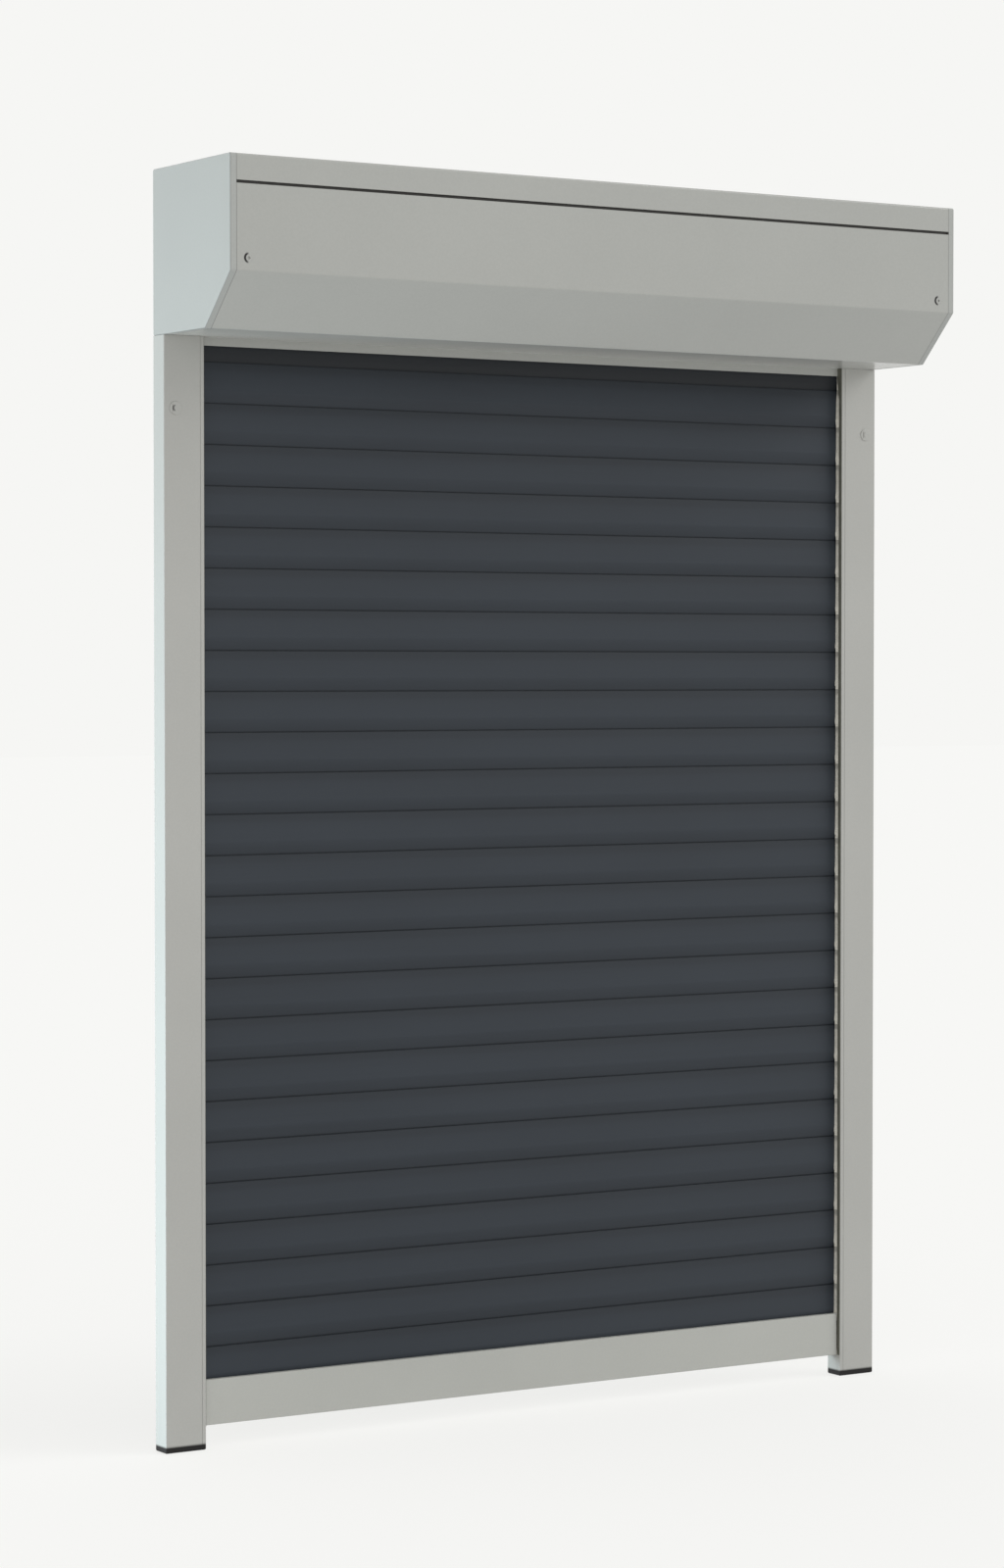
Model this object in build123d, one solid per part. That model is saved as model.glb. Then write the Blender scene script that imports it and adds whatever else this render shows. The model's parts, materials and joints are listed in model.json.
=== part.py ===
from build123d import *
import math
import os

# Front-mounted exterior roller shutter. Lengths are millimetres and angles are degrees.
# X runs along the winding tube, the front faces -Y, and Z is up.
# The origin is the middle of the footprint, at the level of the guide feet.

# Whole object
overall_width = 880.0
overall_height = 1273.0
box_depth = 160.0
box_height = 164.0
box_chamfer = 52.0

# Box sheet and its joints
sheet_wall = 1.4
bend_radius = 2.2
seat_gap = 0.2
groove_below_top = 25.6
groove_width = 3.0
joggle_depth = 3.0
joggle_overlap = 11.0
strip_return = 2.2
underside_joint_from_back = 40.0
slot_lip_from_back = 13.6
slot_lip_height = 8.4
slot_lip_end_gap = 0.6
underside_return = 4.2

# End caps, cast
cap_plate = 7.0
cap_edge_radius = 1.0
cap_spigot_length = 14.0
cap_spigot_wall = 2.5
cap_lug_width = 14.0
cap_lug_height = 12.0
cap_lug_depth = 10.0
cap_hub_radius = 18.0
cap_hub_length = 12.0

# Self-tapping countersunk screws of the box
screw_shank_radius = 1.5
screw_head_radius = 3.2
screw_head_depth = 1.7
screw_length = 9.0
screw_clearance = 0.08
screw_recess_width = 0.8
screw_recess_depth = 1.1
front_screw_from_end = 20.5
front_screw_above_fold = 12.3
rear_screw_from_end = 15.0
rear_screw_from_edge = 28.0

# Guide rails, extruded
guide_width = 45.0
guide_depth = 22.5
guide_wall = 1.6
guide_edge_radius = 0.9
guide_chamber_width = 22.8
guide_slot_depth = 15.7
guide_lip_wall = 1.2
guide_line_from_edge = 4.5
guide_line_width = 0.5
guide_line_depth = 0.3
guide_hole_from_side = 13.0
guide_hole_below_box = 72.0
guide_wall_hole_radius = 2.75
guide_front_hole_radius = 5.6

# Plugs over the guides' fixing holes
plug_head_radius = 6.6
plug_head_height = 0.8
plug_edge_share = 0.6
plug_stem_radius = 5.3
plug_stem_length = 5.0
plug_mark_width = 0.9
plug_mark_length = 7.0
plug_mark_depth = 0.5

# Seals in the guides
brush_width = 9.0
brush_base = 1.0
brush_pile_width = 6.4
brush_clearance = 0.3
rear_seal_thickness = 1.3
rear_seal_width = 8.8
seal_inset = 0.3

# Guide feet, end stops and inlets
foot_height = 5.3
foot_radius = 1.6
foot_plug_height = 14.0
foot_plug_wall = 1.8
foot_plug_clearance = 0.25
stop_height = 17.7
stop_clearance = 0.2
inlet_height = 24.0
inlet_tongue_length = 18.0
inlet_cheek = 1.0
inlet_front_cheek = 4.5
inlet_flare = 5.0
inlet_clearance = 0.3

# Curtain of hooked slats
slat_pitch = 41.0
slat_thickness = 9.0
slat_skin = 0.6
slat_front_from_back = 12.5
slat_guide_entry = 15.0
slat_gap_below = 0.5
slat_top_below_pitch = 0.8
slat_crest_height = 13.0
slat_foot_setback = 2.2
slat_head_setback = 1.2
slat_pocket_height = 3.5
slat_lip_reach = 4.6
slat_hook_setback = 3.2
slat_hook_wall = 0.7
slat_hook_reach = 3.2
slat_hook_play = 0.3
curtain_rest_clearance = 0.3

# Plastic clips in the ends of every second slat
clip_step = 2
clip_insert = 12.0
clip_head = 2.0
clip_clearance = 0.2
clip_rim = 0.3

# Bottom bar, extruded
bar_front_from_back = 18.4
bar_height = 45.7
bar_overlap = 9.0
bar_wall = 1.3
bar_shoulder_below_slat = 1.0
bar_side_gap = 2.0
bar_edge_radius = 1.0
bar_slat_gap = 0.4
bar_end_entry = 14.5
bar_end_insert = 24.0
bar_end_clearance = 0.2
bar_end_radius = 0.8

# Octagonal winding tube
tube_across_flats = 60.0
tube_wall = 1.0
tube_sides = 8
tube_end_from_cap = 21.0
insert_clearance = 0.2

# Tubular motor at the right end
motor_radius = 22.5
motor_length = 465.0
motor_head_radius = 26.0
motor_head_flat = 22.0
motor_end_gap = 0.3
motor_socket_depth = 16.0
bracket_radius = 27.0
bracket_plate = 4.0
bracket_lug_length = 66.0
bracket_lug_width = 16.0
bracket_hole_radius = 2.6
bracket_hole_spacing = 52.0
bracket_pilot_depth = 3.5
crown_length = 20.0
crown_flange = 3.0
crown_flange_radius = 32.0
running_gap = 0.05
drive_length = 36.0
drive_shaft_radius = 8.0
drive_pocket_count = 4
drive_pocket_radius = 6.0
drive_pocket_ring = 17.5
drive_pocket_depth = 24.0

# Idler plug, pin and ball bearing at the left end
idler_plug_length = 60.0
idler_pocket_floor = 20.0
idler_flange = 3.0
idler_flange_radius = 32.0
idler_pin_radius = 6.0
idler_pin_inside = 32.0
bearing_outer_radius = 14.0
bearing_width = 8.0
bearing_race_inner_radius = 8.5
bearing_race_outer_radius = 11.1
bearing_ball_radius = 2.1
bearing_ball_count = 9
bearing_cage_wall = 0.9
bearing_cage_width = 5.2
bearing_pocket_extra = 0.4

# Hanger rings on the tube and their spring steel straps
hanger_count = 3
hanger_spacing = 265.0
hanger_ring_radius = 36.0
hanger_ring_width = 24.0
hanger_ring_gap = 0.15
strap_width = 18.0
strap_thickness = 0.8
strap_gap = 0.3
strap_wrap_angle = 84.0
strap_tab_height = 4.5

overrun = 20.0

# Derived places
half_width = overall_width / 2
back_y = box_depth / 2
front_y = -box_depth / 2
box_bottom_z = overall_height - box_height
fold_z = box_bottom_z + box_chamfer
shell_half_length = half_width - cap_plate
axis_z = box_bottom_z + box_height / 2
guide_inner_x = half_width - guide_width
guide_front_y = back_y - guide_depth
slat_front_y = back_y - slat_front_from_back
slat_rear_y = slat_front_y + slat_thickness
slat_half_length = guide_inner_x + slat_guide_entry
bar_bottom_z = foot_height + stop_height + curtain_rest_clearance
bar_top_z = bar_bottom_z + bar_height
bar_joint_z = bar_top_z - bar_overlap
slat_count = math.ceil((box_bottom_z - bar_joint_z) / slat_pitch)
stop_top_z = foot_height + stop_height
tube_left_x = -(half_width - cap_plate - tube_end_from_cap)
tube_right_x = half_width - cap_plate - tube_end_from_cap - crown_flange
tube_flat_turn = 180 / tube_sides
tube_corner_radius = tube_across_flats / 2 / math.cos(math.radians(tube_flat_turn))
ring_radius = hanger_ring_radius + tube_corner_radius - tube_across_flats / 2
SIDES = {"left": -1, "right": 1}


def outline(points):
    return make_face(Polyline(*points, close=True))


def along_x(sketch, start, length):
    """Extrude a section drawn in (y, z) from one x to another."""
    return extrude(Plane.YZ.offset(start) * sketch, amount=length, dir=(1, 0, 0))


def along_z(sketch, start, length):
    """Extrude a section drawn in (x, y) upwards."""
    return extrude(Pos(0, 0, start) * sketch, amount=length, dir=(0, 0, 1))


def block(low, high):
    """A box given by its lowest and highest corners."""
    size = [b - a for a, b in zip(low, high)]
    return Pos(*low) * Box(*size, align=(Align.MIN, Align.MIN, Align.MIN))


def area(low, high):
    """A rectangle given by two opposite corners of a section."""
    width = abs(high[0] - low[0])
    height = abs(high[1] - low[1])
    centre = ((low[0] + high[0]) / 2, (low[1] + high[1]) / 2)
    return Pos(*centre) * Rectangle(width, height)


def rod_x(radius, start, length, y=0.0, z=axis_z):
    """A round bar along X."""
    return Pos(start + length / 2, y, z) * Rot(0, 90, 0) * Cylinder(radius, length)


def cone_y(radius_front, radius_back, depth, place):
    """A cone along Y whose front face is centred on place."""
    cone = Cone(radius_front, radius_back, depth, align=(Align.CENTER, Align.CENTER, Align.MIN))
    return Pos(*place) * Rot(-90, 0, 0) * cone


def octagon(across_flats):
    """The winding tube's outline, or that of what is pushed into it or over it."""
    flats = RegularPolygon(across_flats / 2, tube_sides, major_radius=False, rotation=tube_flat_turn)
    return Pos(0, axis_z) * flats


def keep(solid, name):
    """Write one piece, or one group of like pieces, to its own file."""
    solids = solid.solids()
    shape = solids[0] if len(solids) == 1 else Compound(children=list(solids))
    shape.label = name
    export_step(shape, f"parts/{name}.step")


def box_section():
    """The outer outline of the box, with its chamfered lower front."""
    corners = [
        (back_y, box_bottom_z),
        (back_y, overall_height),
        (front_y, overall_height),
        (front_y, fold_z),
        (front_y + box_chamfer, box_bottom_z),
    ]
    section = outline(corners)
    return fillet(section.vertices(), bend_radius)


def sheet_section():
    """The folded sheet's wall, all the way round the box."""
    section = box_section()
    return section - offset(section, amount=-sheet_wall)


def screw(place, backwards):
    """A countersunk screw whose head is flush with a face that looks along Y."""
    turn = Rot(0, 0, 180) if backwards else Rot(0, 0, 0)
    origin = (0, 0, 0)
    body = cone_y(screw_head_radius, screw_shank_radius, screw_head_depth, origin)
    shank = Cylinder(screw_shank_radius, screw_length, align=(Align.CENTER, Align.CENTER, Align.MIN))
    body += Rot(-90, 0, 0) * shank
    for turn_angle in (0, 90):
        cross = Box(screw_head_radius, screw_recess_depth * 2, screw_recess_width)
        body -= Rot(0, turn_angle, 0) * cross
    return Pos(*place) * turn * body


def screw_hole(place, backwards):
    """The countersunk hole in the sheet, and the pilot hole behind it."""
    turn = Rot(0, 0, 180) if backwards else Rot(0, 0, 0)
    head = cone_y(
        screw_head_radius + screw_clearance,
        screw_shank_radius + screw_clearance,
        screw_head_depth,
        (0, 0, 0),
    )
    pilot = Cylinder(
        screw_shank_radius + screw_clearance,
        screw_length + screw_clearance,
        align=(Align.CENTER, Align.CENTER, Align.MIN),
    )
    return Pos(*place) * turn * (head + Rot(-90, 0, 0) * pilot)


def screw_places():
    """Two screws hold the front cover, and four hold the back of the shell."""
    places = []
    for side in SIDES.values():
        front_x = side * (half_width - front_screw_from_end)
        places.append(((front_x, front_y, fold_z + front_screw_above_fold), False))
        rear_x = side * (half_width - rear_screw_from_end)
        for height in (box_bottom_z + rear_screw_from_edge, overall_height - rear_screw_from_edge):
            places.append(((rear_x, back_y, height), True))
    return places


def drill(solid):
    for place, backwards in screw_places():
        solid -= screw_hole(place, backwards)
    return solid


def top_back_shell():
    """Back wall, top and upper front strip, folded from one sheet."""
    strip_z = overall_height - groove_below_top
    section = sheet_section()
    section -= area((front_y - overrun, box_bottom_z - overrun), (front_y + box_depth / 2, strip_z))
    section -= area(
        (front_y, box_bottom_z - overrun),
        (back_y - sheet_wall, box_bottom_z + box_height / 2),
    )
    section += area((front_y, strip_z), (front_y + strip_return, strip_z + sheet_wall))
    return drill(along_x(section, -shell_half_length, shell_half_length * 2))


def front_cover():
    """The removable cover: front face, chamfer and most of the underside."""
    top_z = overall_height - groove_below_top - groove_width
    joint_y = back_y - underside_joint_from_back
    section = sheet_section()
    section -= area((front_y - overrun, top_z), (back_y + overrun, overall_height + overrun))
    section -= area((joint_y, box_bottom_z - overrun), (back_y + overrun, overall_height))
    inner_y = front_y + joggle_depth
    section += area((front_y, top_z - sheet_wall), (inner_y + sheet_wall, top_z))
    section += area((inner_y, top_z - sheet_wall), (inner_y + sheet_wall, top_z + joggle_overlap))
    section += area((joint_y - sheet_wall, box_bottom_z), (joint_y, box_bottom_z + underside_return))
    return drill(along_x(section, -shell_half_length, shell_half_length * 2))


def slot_profile():
    """The fixed rear strip of the underside, whose lip hangs in front of the curtain."""
    joint_y = back_y - underside_joint_from_back + seat_gap
    lip_y = back_y - slot_lip_from_back
    flat = area((joint_y, box_bottom_z), (lip_y, box_bottom_z + sheet_wall))
    flat += area((joint_y, box_bottom_z), (joint_y + sheet_wall, box_bottom_z + underside_return))
    lip = area((lip_y - sheet_wall, box_bottom_z - slot_lip_height), (lip_y, box_bottom_z + sheet_wall))
    lip_half = guide_inner_x - slot_lip_end_gap
    profile = along_x(flat, -shell_half_length, shell_half_length * 2)
    return profile + along_x(lip, -lip_half, lip_half * 2)


def end_cap(side):
    """A cast end cap: outer plate, spigot inside the sheets, screw lug and hub."""
    section = box_section()
    outer_x = side * half_width
    inner_x = side * (half_width - cap_plate)
    cap = along_x(section, min(outer_x, inner_x), cap_plate)
    outer_face = cap.faces().sort_by(Axis.X)[0 if side < 0 else -1]
    cap = fillet(outer_face.edges(), cap_edge_radius)
    spigot_outer = offset(section, amount=-(sheet_wall + seat_gap))
    spigot = spigot_outer - offset(section, amount=-(sheet_wall + seat_gap + cap_spigot_wall))
    tip_x = side * (half_width - cap_plate - cap_spigot_length)
    cap += along_x(spigot, min(inner_x, tip_x), cap_spigot_length)
    lug_centre = fold_z + front_screw_above_fold
    lug_y = front_y + sheet_wall + seat_gap
    lug = area(
        (lug_y, lug_centre - cap_lug_height / 2),
        (lug_y + cap_lug_depth, lug_centre + cap_lug_height / 2),
    )
    lug_tip = side * (half_width - front_screw_from_end - cap_lug_width / 2)
    cap += along_x(lug, min(inner_x, lug_tip), abs(inner_x - lug_tip))
    groove_top = overall_height - groove_below_top + sheet_wall + seat_gap
    groove_bottom = overall_height - groove_below_top - groove_width - sheet_wall - seat_gap
    joggle_top = overall_height - groove_below_top - groove_width + joggle_overlap + seat_gap
    relief = area(
        (front_y, groove_bottom),
        (front_y + joggle_depth + sheet_wall + seat_gap, joggle_top),
    )
    relief += area((front_y, groove_bottom), (front_y + strip_return + seat_gap, groove_top))
    joint_y = back_y - underside_joint_from_back
    relief += area(
        (joint_y - sheet_wall - seat_gap, box_bottom_z),
        (joint_y + sheet_wall + seat_gap * 2, box_bottom_z + underside_return + seat_gap),
    )
    spigot_zone = min(inner_x, tip_x)
    cap -= along_x(relief, spigot_zone, cap_spigot_length)
    if side < 0:
        hub_tip = -(half_width - cap_plate)
        cap += rod_x(cap_hub_radius, hub_tip, cap_hub_length)
        pocket = bearing_width + seat_gap
        pocket_x = hub_tip + cap_hub_length - pocket
        cap -= rod_x(bearing_outer_radius + running_gap, pocket_x, pocket + overrun)
        bore = idler_pin_radius + bearing_pocket_extra
        cap -= rod_x(bore, pocket_x - bearing_pocket_extra, bearing_pocket_extra + overrun)
    else:
        for offset_z in (-bracket_hole_spacing / 2, bracket_hole_spacing / 2):
            cap -= rod_x(screw_shank_radius, inner_x, bracket_pilot_depth, z=axis_z + offset_z)
    return drill(cap)


def guide_x(side, from_side):
    """The x of a place measured inwards from a guide's outer face."""
    return side * (half_width - from_side)


def guide_area(side, from_side, from_back):
    """A rectangle of the guide's section, as two pairs measured from its outer side and back."""
    return area(
        (guide_x(side, from_side[0]), back_y - from_back[0]),
        (guide_x(side, from_side[1]), back_y - from_back[1]),
    )


def guide_rail(side):
    """A hollow rail: screw chamber outside, curtain slot inside, front lip over the slot."""
    section = guide_area(side, (0, guide_width), (0, guide_depth))
    section = fillet(section.vertices(), guide_edge_radius)
    chamber_end = guide_wall + guide_chamber_width
    slot_start = chamber_end + guide_wall
    section -= guide_area(side, (guide_wall, chamber_end), (guide_wall, guide_depth - guide_wall))
    slot_front = guide_wall + guide_slot_depth
    section -= guide_area(side, (slot_start, guide_width + overrun), (guide_wall, slot_front))
    section -= guide_area(
        side,
        (slot_start, guide_width - guide_wall),
        (slot_front + guide_lip_wall, guide_depth - guide_wall),
    )
    line = guide_width - guide_line_from_edge
    section -= guide_area(
        side,
        (line, line + guide_line_width),
        (guide_depth - guide_line_depth, guide_depth + overrun),
    )
    rail = along_z(section, foot_height, box_bottom_z - seat_gap - foot_height)
    hole_x = guide_x(side, guide_hole_from_side)
    hole_z = box_bottom_z - guide_hole_below_box
    wall_hole = Rot(90, 0, 0) * Cylinder(guide_wall_hole_radius, guide_depth)
    rail -= Pos(hole_x, back_y, hole_z) * wall_hole
    front_hole = Rot(90, 0, 0) * Cylinder(guide_front_hole_radius, guide_depth)
    rail -= Pos(hole_x, guide_front_y, hole_z) * front_hole
    return rail


def hole_plug(side):
    """A cap pressed into the guide's front hole, with a slot to lift it out."""
    hole_x = guide_x(side, guide_hole_from_side)
    hole_z = box_bottom_z - guide_hole_below_box
    align = (Align.CENTER, Align.CENTER, Align.MIN)
    stem = Cylinder(plug_stem_radius, plug_stem_length, align=align)
    head = Cylinder(plug_head_radius, plug_head_height, align=align)
    head = fillet(head.edges().group_by(Axis.Z)[-1], plug_head_height * plug_edge_share)
    mark = Pos(-plug_head_radius / 2, 0, plug_head_height) * Box(
        plug_mark_width, plug_mark_length, plug_mark_depth * 2
    )
    plug = Pos(0, 0, -plug_stem_length) * stem + head - mark
    return Pos(hole_x, guide_front_y, hole_z) * Rot(90, 0, 0) * plug


def brush_seal(side):
    """The pile seal behind the guide's front lip: a base strip and its pile."""
    slot_front = guide_wall + guide_slot_depth
    base_front = slot_front - seat_gap
    edge = guide_width - seat_gap
    section = guide_area(side, (edge - brush_width, edge), (base_front - brush_base, base_front))
    section += guide_area(
        side,
        (edge - brush_pile_width, edge),
        (slat_front_from_back + brush_clearance, base_front),
    )
    start = stop_top_z + seal_inset
    return along_z(section, start, box_bottom_z - seat_gap - seal_inset - start)


def rear_seal(side):
    """The plain strip that the slats run against at the back of the slot."""
    edge = guide_width - seat_gap
    rear = guide_wall + seat_gap
    section = guide_area(side, (edge - rear_seal_width, edge), (rear, rear + rear_seal_thickness))
    start = stop_top_z + seal_inset
    return along_z(section, start, box_bottom_z - seat_gap - seal_inset - start)


def foot_cap(side):
    """The black cap under a guide, with a hollow plug up into its chamber."""
    section = guide_area(side, (0, guide_width), (0, guide_depth))
    section = fillet(section.vertices(), guide_edge_radius)
    cap = along_z(section, 0, foot_height)
    cap = fillet(cap.edges().group_by(Axis.Z)[0], foot_radius)
    inner = guide_wall + foot_plug_clearance
    far = guide_wall + guide_chamber_width - foot_plug_clearance
    plug = guide_area(side, (inner, far), (inner, guide_depth - inner))
    plug -= guide_area(
        side,
        (inner + foot_plug_wall, far - foot_plug_wall),
        (inner + foot_plug_wall, guide_depth - inner - foot_plug_wall),
    )
    return cap + along_z(plug, foot_height, foot_plug_height)


def guide_stop(side):
    """The block that closes the slot's lower end, where the bottom bar comes to rest."""
    slot_start = guide_wall * 2 + guide_chamber_width + stop_clearance
    section = guide_area(
        side,
        (slot_start, guide_width),
        (guide_wall + stop_clearance, guide_wall + guide_slot_depth - stop_clearance),
    )
    return along_z(section, foot_height, stop_height)


def inlet(side):
    """The plastic mouth on a guide that leads the slats down from the roll."""
    base_z = box_bottom_z + sheet_wall + seat_gap
    web_start = cap_plate + cap_spigot_length + inlet_clearance
    slot_start = guide_wall * 2 + guide_chamber_width
    rear_in = sheet_wall + seat_gap
    front_in = slat_front_from_back + inlet_clearance * 2
    front_out = front_in + inlet_front_cheek
    height = inlet_height
    web = guide_area(side, (web_start, slot_start), (rear_in, front_out))
    piece = along_z(web, base_z, height)
    rear_cheek = guide_area(side, (slot_start, guide_width), (rear_in, rear_in + inlet_cheek))
    piece += along_z(rear_cheek, base_z, height)
    front_cheek = guide_area(side, (slot_start, guide_width), (front_in, front_out))
    piece += along_z(front_cheek, base_z, height)
    flare_points = [
        (back_y - front_in, base_z + height - inlet_flare),
        (back_y - front_in, base_z + height + overrun),
        (back_y - front_in - inlet_front_cheek, base_z + height + overrun),
        (back_y - front_in - inlet_front_cheek, base_z + height),
    ]
    inner_end = min(guide_x(side, slot_start), guide_x(side, guide_width + overrun))
    flare = along_x(outline(flare_points), inner_end, guide_width + overrun - slot_start)
    piece -= flare
    tongue = guide_area(
        side,
        (web_start, guide_wall + guide_chamber_width - inlet_clearance),
        (guide_wall + inlet_clearance, slot_lip_from_back - inlet_clearance),
    )
    tongue_bottom = box_bottom_z - inlet_tongue_length
    return piece + along_z(tongue, tongue_bottom, base_z - tongue_bottom + inlet_cheek)


def slat_front_curve(base_z):
    """The slat's convex front: a flat upper arc that meets a tighter lower one at the crest."""
    low = (slat_front_y + slat_foot_setback, base_z + slat_gap_below)
    crest = (slat_front_y, base_z + slat_crest_height)
    high = (slat_front_y + slat_head_setback, base_z + slat_pitch - slat_top_below_pitch)
    lower = TangentArc(crest, low, tangent=(0, -1))
    upper = TangentArc(crest, high, tangent=(0, 1))
    return low, high, lower, upper


def slat_body(base_z):
    """The closed outline of a slat without its hook."""
    low, high, lower, upper = slat_front_curve(base_z)
    rest = Polyline(high, (slat_rear_y, high[1]), (slat_rear_y, low[1]), low)
    return make_face([lower, upper, rest])


def slat_cavity(base_z):
    """The foam space inside the double wall, above the hook pocket."""
    inner = offset(slat_body(base_z), amount=-slat_skin, kind=Kind.INTERSECTION)
    roof = base_z + slat_gap_below + slat_skin + slat_pocket_height
    below = area((slat_front_y - overrun, base_z - overrun), (slat_rear_y + overrun, roof + slat_skin))
    return inner - below


def slat_pocket(base_z):
    """The pocket that takes the hook of the piece below, and its slot."""
    inner = offset(slat_body(base_z), amount=-slat_skin, kind=Kind.INTERSECTION)
    roof = base_z + slat_gap_below + slat_skin + slat_pocket_height
    above = area((slat_front_y - overrun, roof), (slat_rear_y + overrun, base_z + slat_pitch + overrun))
    pocket = inner - above
    slot_start = slat_front_y + slat_foot_setback + slat_skin
    slot = area(
        (slot_start, base_z),
        (slat_rear_y - slat_lip_reach, base_z + slat_gap_below + slat_skin * 2),
    )
    return pocket + slot


def hook(root_z, joint_z):
    """The hook on top of a slat or bar: a stem through the slot and a head over the lip."""
    stem_y = slat_front_y + slat_hook_setback
    head_z = joint_z + slat_gap_below + slat_skin + slat_hook_play
    stem = area((stem_y, root_z), (stem_y + slat_hook_wall, head_z + slat_hook_wall))
    head = area((stem_y, head_z), (stem_y + slat_hook_wall + slat_hook_reach, head_z + slat_hook_wall))
    return stem + head


def slat_base_z(index):
    """The joint level under a slat; the first slat hangs behind the bar's front wall."""
    return bar_joint_z + index * slat_pitch


def slat_section(base_z):
    section = slat_body(base_z) - slat_cavity(base_z) - slat_pocket(base_z)
    root_z = base_z + slat_pitch - slat_top_below_pitch - slat_skin
    return section + hook(root_z, base_z + slat_pitch)


def slat_clip(side, base_z):
    """An end clip: a plug in the slat's hollow and a head that runs in the guide."""
    cavity = slat_cavity(base_z)
    plug = offset(cavity, amount=-clip_clearance, kind=Kind.INTERSECTION)
    head = offset(cavity, amount=clip_rim, kind=Kind.INTERSECTION)
    end_x = side * slat_half_length
    plug_x = end_x - clip_insert if side > 0 else end_x
    head_x = end_x if side > 0 else end_x - clip_head
    return along_x(plug, plug_x, clip_insert) + along_x(head, head_x, clip_head)


def bar_rear_zone(inset):
    """The bar's rear chamber, which also takes the end pieces."""
    shoulder_z = bar_joint_z - bar_shoulder_below_slat
    return area(
        (slat_front_y + inset, bar_bottom_z + inset),
        (slat_rear_y - inset, shoulder_z - inset),
    )


def bottom_bar():
    """The bottom bar: a rear chamber under the last slat and a front wall that covers its joint."""
    front = back_y - bar_front_from_back
    web_y = slat_front_y - bar_slat_gap
    outer = area((front, bar_bottom_z), (web_y, bar_top_z))
    outer += area((front, bar_bottom_z), (slat_rear_y, bar_joint_z - bar_shoulder_below_slat))
    outer = fillet(outer.vertices().filter_by(lambda v: v.Y < web_y - bar_wall), bar_edge_radius)
    front_hollow = area(
        (front + bar_wall, bar_bottom_z + bar_wall),
        (web_y - bar_wall, bar_top_z - bar_wall),
    )
    section = outer - front_hollow - bar_rear_zone(bar_wall)
    section += hook(bar_joint_z - bar_shoulder_below_slat - bar_wall, bar_joint_z)
    half = guide_inner_x - bar_side_gap
    return along_x(section, -half, half * 2)


def bar_end(side):
    """The sliding end piece: a plug in the bar and a tongue that runs in the guide."""
    plug = bar_rear_zone(bar_wall + bar_end_clearance)
    tongue = fillet(bar_rear_zone(bar_end_clearance).vertices(), bar_end_radius)
    bar_half = guide_inner_x - bar_side_gap
    tongue_length = bar_side_gap + bar_end_entry - seat_gap
    plug_x = bar_half - bar_end_insert if side > 0 else -bar_half - seat_gap
    tongue_x = bar_half + seat_gap if side > 0 else -bar_half - seat_gap - tongue_length
    piece = along_x(plug, plug_x, bar_end_insert + seat_gap)
    return piece + along_x(tongue, tongue_x, tongue_length)


def winding_tube():
    section = octagon(tube_across_flats) - octagon(tube_across_flats - tube_wall * 2)
    return along_x(section, tube_left_x, tube_right_x - tube_left_x)


def tube_insert_flats():
    """The size across flats of what is pushed into the tube."""
    return tube_across_flats - tube_wall * 2 - insert_clearance * 2


def idler_plug():
    """The octagonal plug in the tube's left end, bored for its pin."""
    plug = along_x(octagon(tube_insert_flats()), tube_left_x, idler_plug_length)
    plug += rod_x(idler_flange_radius, tube_left_x - idler_flange, idler_flange - running_gap)
    plug += rod_x(tube_insert_flats() / 2, tube_left_x - idler_flange, idler_flange)
    plug -= rod_x(idler_pin_radius + running_gap, tube_left_x - overrun, idler_plug_length + overrun * 2)
    for index in range(drive_pocket_count):
        angle = math.tau * (index + 1 / 2) / drive_pocket_count
        pocket = rod_x(
            drive_pocket_radius,
            tube_left_x + idler_pocket_floor,
            idler_plug_length,
            y=drive_pocket_ring * math.cos(angle),
            z=axis_z + drive_pocket_ring * math.sin(angle),
        )
        plug -= pocket
    return plug


def bearing_x():
    """The left face of the ball bearing in the end cap's hub."""
    return -(half_width - cap_plate) + cap_hub_length - bearing_width


def idler_pin():
    """The pin that carries the idler plug in the bearing."""
    start = bearing_x() - bearing_pocket_extra / 2
    return rod_x(idler_pin_radius, start, tube_left_x + idler_pin_inside - start)


def ball_centres():
    ring = (bearing_race_inner_radius + bearing_race_outer_radius) / 2
    step = 2 * math.pi / bearing_ball_count
    centre_x = bearing_x() + bearing_width / 2
    for index in range(bearing_ball_count):
        yield Pos(centre_x, ring * math.cos(index * step), axis_z + ring * math.sin(index * step))


def bearing_raceway():
    """The track of the balls, cut out of both rings."""
    ring = (bearing_race_inner_radius + bearing_race_outer_radius) / 2
    centre_x = bearing_x() + bearing_width / 2
    return Pos(centre_x, 0, axis_z) * Rot(0, 90, 0) * Torus(ring, bearing_ball_radius + running_gap)


def bearing_outer_ring():
    ring = rod_x(bearing_outer_radius, bearing_x(), bearing_width)
    ring -= rod_x(bearing_race_outer_radius, bearing_x(), bearing_width)
    return ring - bearing_raceway()


def bearing_inner_ring():
    ring = rod_x(bearing_race_inner_radius, bearing_x(), bearing_width)
    ring -= rod_x(idler_pin_radius + running_gap, bearing_x(), bearing_width)
    return ring - bearing_raceway()


def bearing_balls():
    """The balls and the cage that spaces them, which go round together."""
    ring = (bearing_race_inner_radius + bearing_race_outer_radius) / 2
    start = bearing_x() + (bearing_width - bearing_cage_width) / 2
    cage = rod_x(ring + bearing_cage_wall / 2, start, bearing_cage_width)
    cage -= rod_x(ring - bearing_cage_wall / 2, start, bearing_cage_width)
    balls = []
    for centre in ball_centres():
        cage -= centre * Sphere(bearing_ball_radius + running_gap)
        balls.append(centre * Sphere(bearing_ball_radius))
    return Compound(children=[cage.solid()] + [ball.solid() for ball in balls])


def motor_head_x():
    """The face of the motor head towards the tube."""
    return tube_right_x + crown_flange + motor_end_gap


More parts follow.
